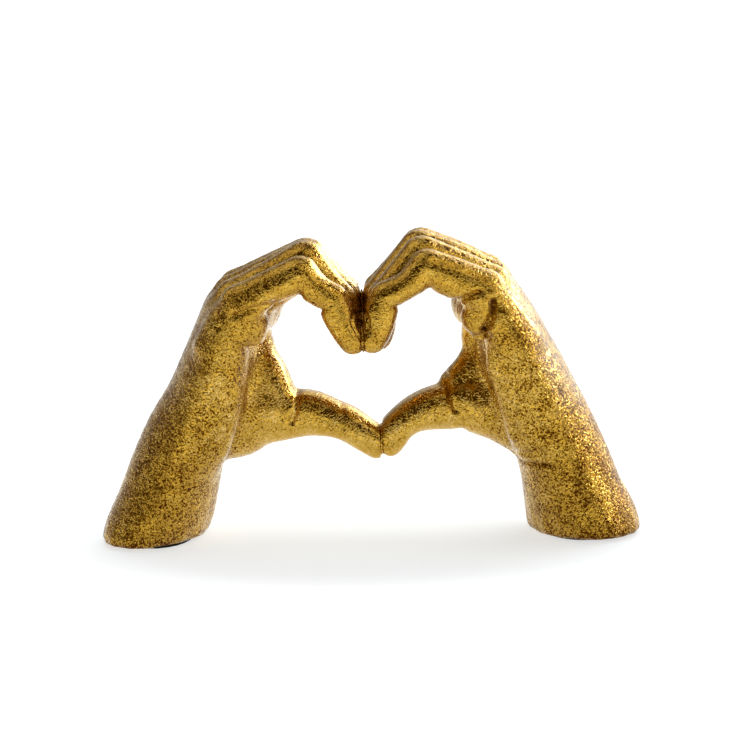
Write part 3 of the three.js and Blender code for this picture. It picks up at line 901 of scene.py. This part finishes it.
def camera():
    data = bpy.data.cameras.new("camera")
    data.lens = data.sensor_width * VIEW_DISTANCE / FRAME_WIDTH
    made = bpy.data.objects.new("camera", data)
    bpy.context.scene.collection.objects.link(made)
    right = Vector((1, 0, 0))
    up = Vector((0, math.sin(VIEW_ELEVATION), math.cos(VIEW_ELEVATION)))
    towards = right.cross(up)
    spot = right * VIEW_CENTRE[0] + up * VIEW_CENTRE[1] + towards * VIEW_DISTANCE
    cosine, sine = math.cos(VIEW_ROLL), math.sin(VIEW_ROLL)
    axes = Matrix((right * cosine - up * sine, right * sine + up * cosine, towards)).transposed()
    made.matrix_world = Matrix.Translation(spot) @ axes.to_4x4()
    bpy.context.scene.camera = made


def floor():
    points = FLOOR_REACH * np.array([(-1, -1, 0), (1, -1, 0), (1, 1, 0), (-1, 1, 0)])
    made = mesh_object("floor", points, np.array([[0, 1, 2, 3]]))
    material, nodes, links, shader = new_material("floor_white")
    shader.inputs["Base Color"].default_value = (0.74, 0.83, 0.92, 1)
    shader.inputs["Roughness"].default_value = 0.9
    shader.inputs["Emission Color"].default_value = (0.97, 0.99, 1, 1)
    away = nodes.new("ShaderNodeVectorMath")
    away.operation = "LENGTH"
    oval = nodes.new("ShaderNodeVectorMath")
    oval.operation = "MULTIPLY"
    oval.inputs[1].default_value = (0.7, 1, 1)
    links.new(nodes.new("ShaderNodeTexCoord").outputs["Object"], oval.inputs[0])
    links.new(oval.outputs["Vector"], away.inputs[0])
    glow = remap(nodes, links, away.outputs["Value"], 0.08, 0.14, 0.67, 1)
    # White where the camera sees it, and fading with distance in the gold's reflections
    path = nodes.new("ShaderNodeLightPath")
    mirrored_glow = remap(nodes, links, away.outputs["Value"], 0.25, 0.9, 1, 0.5)
    mirrored_glow = math_node(nodes, links, "MULTIPLY", mirrored_glow, path.outputs["Is Glossy Ray"])
    seen = math_node(nodes, links, "MAXIMUM", path.outputs["Is Camera Ray"], mirrored_glow)
    glow = math_node(nodes, links, "MULTIPLY", glow, seen)
    links.new(glow, shader.inputs["Emission Strength"])
    made.data.materials.append(material)


def softbox(name, place, size, radiance, mirrored_only=False):
    """A lamp that either shows only in the gold's reflections, or only lights the floor."""
    data = bpy.data.lights.new(name, "AREA")
    data.shape = "RECTANGLE"
    data.size, data.size_y = size
    data.energy = radiance * math.pi * size[0] * size[1]
    made = bpy.data.objects.new(name, data)
    made.location = place
    away = Vector(place) - Vector(LAMP_TARGET)
    made.rotation_euler = away.to_track_quat("Z", "Y").to_euler()
    made.visible_glossy = mirrored_only
    made.visible_diffuse = not mirrored_only
    bpy.context.scene.collection.objects.link(made)


def world():
    """A white backdrop behind, that dims to the left, and a dark room in front and above."""
    made = bpy.data.worlds.new("studio")
    bpy.context.scene.world = made
    made.use_nodes = True
    nodes, links = made.node_tree.nodes, made.node_tree.links
    axes = nodes.new("ShaderNodeSeparateXYZ")
    links.new(nodes.new("ShaderNodeTexCoord").outputs["Generated"], axes.inputs["Vector"])
    right, behind, up = (axes.outputs[a] for a in "XYZ")
    backdrop = remap(nodes, links, behind, 0.1, 0.8, 0, 1)
    across = remap(nodes, links, right, -0.5, 0.45, 0.25, 1.35)
    backdrop = math_node(nodes, links, "MULTIPLY", backdrop, across)
    above = remap(nodes, links, up, 0.5, 0.85, 1, 0.1)
    backdrop = math_node(nodes, links, "MULTIPLY", backdrop, above)
    fill = remap(nodes, links, right, 0.4, 1, 0.05, 0.15)
    light = math_node(nodes, links, "ADD", backdrop, fill)
    background = nodes["Background"]
    links.new(light, background.inputs["Strength"])
    tint = remap(nodes, links, light, 0.1, 0.4)
    links.new(colour_mix(nodes, links, tint, ROOM_TINT, (1, 1, 1)), background.inputs["Color"])
    white = nodes.new("ShaderNodeBackground")
    white.inputs["Color"].default_value = (1, 1, 1, 1)
    mix = nodes.new("ShaderNodeMixShader")
    path = nodes.new("ShaderNodeLightPath")
    links.new(path.outputs["Is Camera Ray"], mix.inputs["Fac"])
    links.new(background.outputs["Background"], mix.inputs[1])
    links.new(white.outputs["Background"], mix.inputs[2])
    links.new(mix.outputs["Shader"], nodes["World Output"].inputs["Surface"])


bpy.context.scene.view_settings.view_transform = "Standard"
camera()
floor()
world()
for name, (place, size, radiance) in MIRRORED_LAMPS.items():
    softbox(name, place, size, radiance, mirrored_only=True)
softbox("overhead", *FLOOR_LAMP)

gold = gold_material("antique_gold", 0)
sculpted = {name: sculpt(name) for name in HANDS}
for name in HANDS:
    hand = hand_piece(name)
    hand.data.materials.append(gold)
    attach(hand, "root")
    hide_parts(f"{name}_hand")

finishes = {
    "wrist_plug": plain_material("plug_filler", (0.5, 0.46, 0.38), (0.66, 0.62, 0.54), 400, 0.85, 0),
    "felt_pad": plain_material("felt", (0.012, 0.011, 0.01), (0.05, 0.046, 0.042), 900, 1, 0),
    "dowel": plain_material("dowel_steel", (0.42, 0.43, 0.44), (0.62, 0.63, 0.64), 500, 0.35, 1),
    "glue": gold_material("glue", 0.08),
}
for name, where in SEAMS.items():
    seam = glue_piece(name, *where)
    seam.data.materials.append(finishes["glue"])
    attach(seam, "root")
    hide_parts(f"{name}_glue")

for name in HANDS:
    felt = felt_piece(name)
    felt.data.materials.append(finishes["felt_pad"])
    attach(felt, "root")
    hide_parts(f"{name}_felt_pad")

for node, solid in frame["nodes"].items():
    for ending, finish in finishes.items():
        if node.endswith(ending):
            solid.data.materials.clear()
            solid.data.materials.append(finish)
